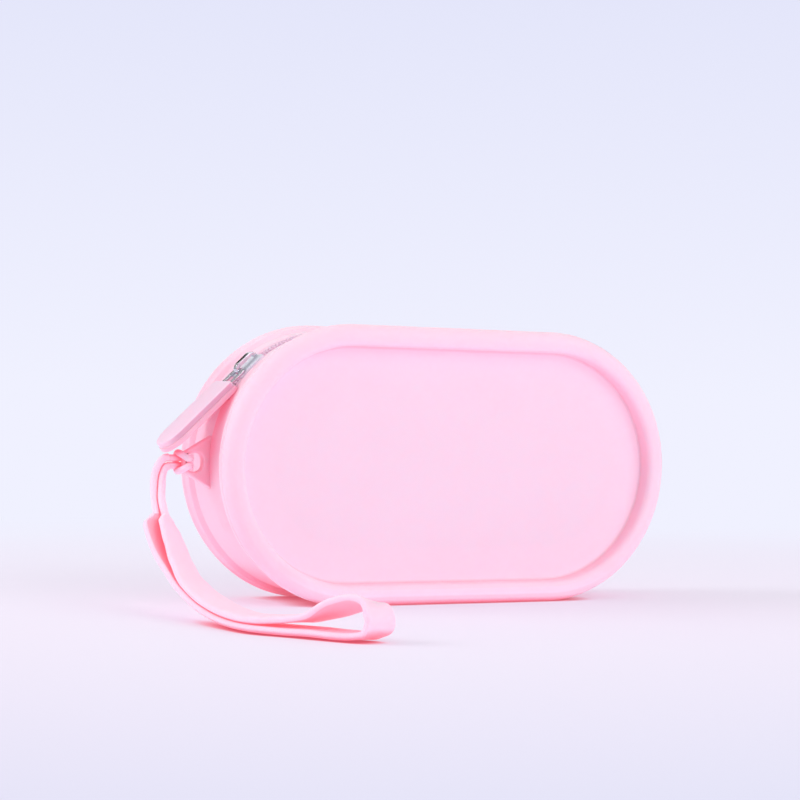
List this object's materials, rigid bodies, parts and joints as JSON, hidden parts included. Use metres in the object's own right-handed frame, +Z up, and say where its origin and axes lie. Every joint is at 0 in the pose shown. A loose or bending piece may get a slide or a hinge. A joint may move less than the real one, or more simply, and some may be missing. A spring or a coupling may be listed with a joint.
{
  "type": "cosmetic pouch",
  "caption": "Soft silicone cosmetic pouch with rounded ends, raised rims round recessed panels, a zip over the top with slider and soft pull tab, and a wrist strap knotted to an end lug.",
  "frame": {"origin": "on the table, under the middle of the pouch and its pull tab, the wrist strap left out", "axes": "+X along the pouch towards the plain right end, +Y from the front panel to the rear panel, +Z up towards the zip"},
  "size_m": [0.1809, 0.1291, 0.086],
  "materials": {
    "silicone": "soft matte pale pink silicone",
    "strap_silicone": "soft matte pale pink silicone",
    "pull_silicone": "soft satin pale mauve pink silicone",
    "zip_tape": "woven pink tape",
    "zip_coil": "greyish pink nylon",
    "zip_metal": "polished silver plating"
  },
  "bodies": {
    "rear_half": {"rear_shell": "silicone", "gusset_web": "silicone", "strap_lug": "silicone", "zip_tape_rear": "zip_tape", "zip_coil_rear": "zip_coil", "zip_stop_left": "zip_metal", "zip_stop_right": "zip_metal", "strap_hitch": "strap_silicone"},
    "front_half": {"front_shell": "silicone", "zip_tape_front": "zip_tape", "zip_coil_front": "zip_coil"},
    "slider": {"zip_slider": "zip_metal"},
    "pull": {"pull_link": "zip_metal", "pull_tab": "pull_silicone"},
    "strap": {"wrist_strap": "strap_silicone"}
  },
  "joints": [
    {"name": "mouth_open", "type": "hinge", "parent": "rear_half", "child": "front_half", "pos_m": [0, -0.0157, 0], "axis": [1, 0, 0], "range_deg": [0, 20]},
    {"name": "zip_travel", "type": "hinge", "parent": "rear_half", "child": "slider", "pos_m": [-0.02839, 0, 0.043], "axis": [0, 1, 0], "range_deg": [0, 40]},
    {"name": "pull_swing", "type": "hinge", "parent": "slider", "child": "pull", "pos_m": [-0.05926, 0, 0.07137], "axis": [0, 1, 0], "range_deg": [0, 125]},
    {"name": "strap_swing", "type": "hinge", "parent": "rear_half", "child": "strap", "pos_m": [-0.08264, 0.00295, 0.043], "axis": [0, 0, 1], "range_deg": [-75, 0]}
  ]
}
